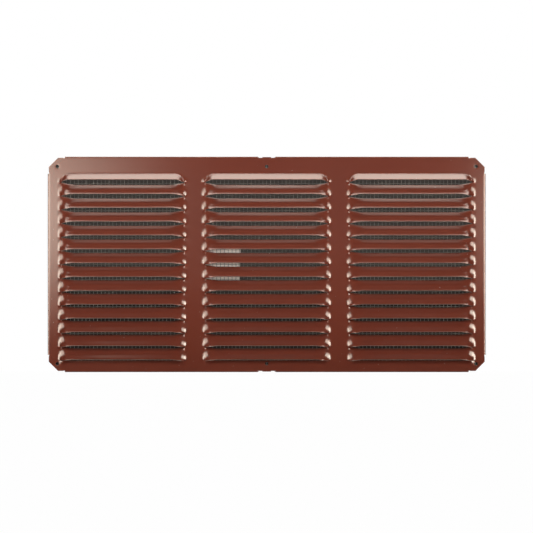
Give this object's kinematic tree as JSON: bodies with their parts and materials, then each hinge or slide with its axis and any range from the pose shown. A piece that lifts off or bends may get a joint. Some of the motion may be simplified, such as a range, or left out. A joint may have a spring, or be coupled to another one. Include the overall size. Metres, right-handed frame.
{
  "type": "soffit vent",
  "caption": "Rectangular painted metal under-eave vent: a pressed sheet with columns of angled louvres, hemmed over a woven wire insect screen.",
  "frame": {"origin": "centre of the vent's bounding box, in the middle of its outline and half a millimetre in front of the flat sheet's front face", "axes": "+X along the louvres, to the right seen from the front; +Z to the top edge, so that the louvres shed downwards; -Y is the louvred front and +Y the side against the soffit or wall"},
  "size_m": [0.4064, 0.0108, 0.2],
  "materials": {
    "brown_paint": "satin",
    "screen_wire": "satin",
    "label_paper": "matte"
  },
  "bodies": {
    "root": {"louvred_panel": "brown_paint", "insect_screen": "screen_wire", "paper_label": "label_paper"}
  },
  "joints": []
}
